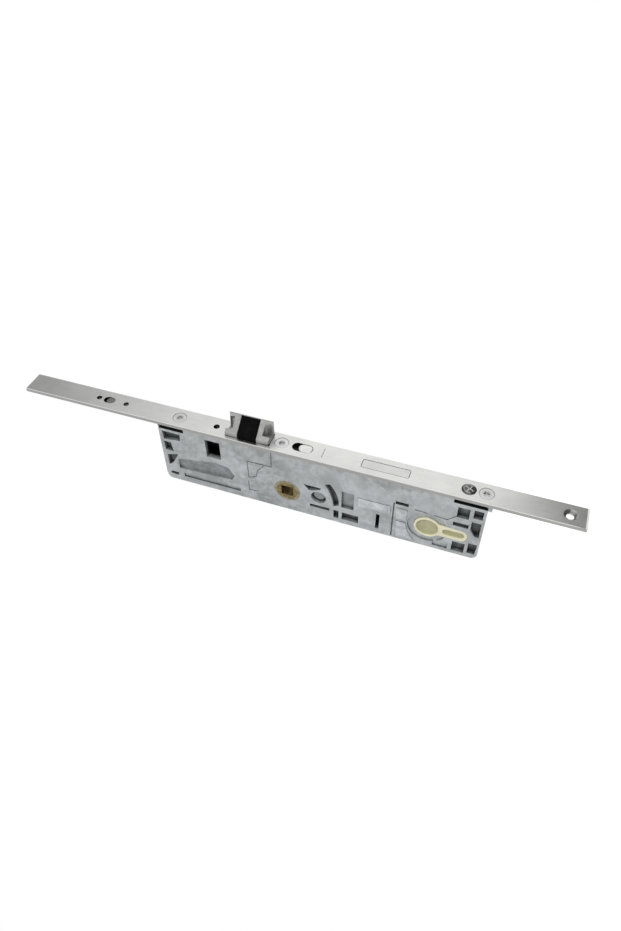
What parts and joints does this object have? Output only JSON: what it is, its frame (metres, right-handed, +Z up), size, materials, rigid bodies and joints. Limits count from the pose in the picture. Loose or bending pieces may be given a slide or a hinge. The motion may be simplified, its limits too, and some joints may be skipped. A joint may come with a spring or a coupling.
{
  "type": "multipoint door lock",
  "caption": "Centre module of a multipoint door lock: faceplate, cast case, sprung bevelled latch, key-thrown deadbolt, spindle hub, snib and drive rods.",
  "frame": {"origin": "on the faceplate's front face, level with the spindle and midway across the strip", "axes": "+X out of the door's edge, +Z up the door, -Y towards the side with the cast pockets"},
  "size_m": [0.0641, 0.016, 0.365],
  "materials": {
    "faceplate_steel": "brushed along its length",
    "case_zinc": "as-cast zinc, slightly mottled",
    "cover_steel": "zinc-plated sheet",
    "bright_screws": "satin",
    "cover_screw_steel": "zinc-plated",
    "dark_screw": "dark plated, glossy",
    "cream_plastic": "cream moulding",
    "stud_steel": "turned",
    "hub_brass": "dull yellow",
    "spring_steel": "bright wire",
    "latch_zinc": "satin die-cast zinc",
    "black_plastic": "black moulding",
    "hub_metal": "brown-yellow plated",
    "rod_steel": "zinc-plated",
    "inner_steel": "blanked and zinc-plated",
    "deadbolt_steel": "satin",
    "snib_steel": "satin"
  },
  "bodies": {
    "case": {"faceplate": "faceplate_steel", "case_body": "case_zinc", "case_cover": "cover_steel", "case_screws": "bright_screws", "cover_screws": "cover_screw_steel", "cylinder_screw": "dark_screw", "cylinder_plug": "cream_plastic", "rod_stud": "stud_steel", "near_hub_bush": "hub_brass", "far_hub_bush": "hub_brass", "pinion_pin": "inner_steel", "slide_guide_pin": "inner_steel", "detent_ball": "inner_steel", "detent_spring": "spring_steel", "latch_spring": "spring_steel", "hub_spring": "spring_steel"},
    "latch": {"latch_bolt": "latch_zinc", "latch_insert": "black_plastic", "latch_tail": "inner_steel", "latch_rivet": "inner_steel", "latch_spring_rod": "inner_steel"},
    "hub": {"spindle_hub": "hub_metal"},
    "rods": {"drive_slide": "inner_steel", "upper_rod": "rod_steel", "lower_rod": "rod_steel"},
    "deadbolt": {"deadbolt": "deadbolt_steel", "deadbolt_pin": "inner_steel"},
    "pinion": {"drive_pinion": "inner_steel"},
    "snib": {"snib_button": "snib_steel", "snib_plate": "inner_steel"}
  },
  "joints": [
    {"name": "hub_turn", "type": "hinge", "parent": "case", "child": "hub", "pos_m": [-0.035, 0, 0], "axis": [0, -1, 0], "range_deg": [0, 42], "stiffness_Nm_per_rad": 0.3, "springref_deg": -28.65, "deforming": ["hub_spring"]},
    {"name": "latch_slide", "type": "slide", "parent": "case", "child": "latch", "axis": [-1, 0, 0], "range_m": [0, 0.011], "stiffness_N_per_m": 100, "springref_m": -0.01, "deforming": ["latch_spring"]},
    {"name": "rods_slide", "type": "slide", "parent": "case", "child": "rods", "axis": [0, 0, 1], "range_m": [0, 0.02]},
    {"name": "deadbolt_throw", "type": "slide", "parent": "case", "child": "deadbolt", "axis": [1, 0, 0], "range_m": [0, 0.02]},
    {"name": "pinion_turn", "type": "hinge", "parent": "case", "child": "pinion", "pos_m": [-0.0162, 0, -0.092], "axis": [0, -1, 0], "range_deg": [0, 184]},
    {"name": "snib_slide", "type": "slide", "parent": "case", "child": "snib", "axis": [0, 0, 1], "range_m": [0, 0.004]}
  ],
  "couplings": [
    {"joint": "hub_turn", "follows": "latch_slide", "rad_per_m": 63.466},
    {"joint": "deadbolt_throw", "follows": "rods_slide", "ratio": 1},
    {"joint": "pinion_turn", "follows": "rods_slide", "rad_per_m": 157.08}
  ]
}
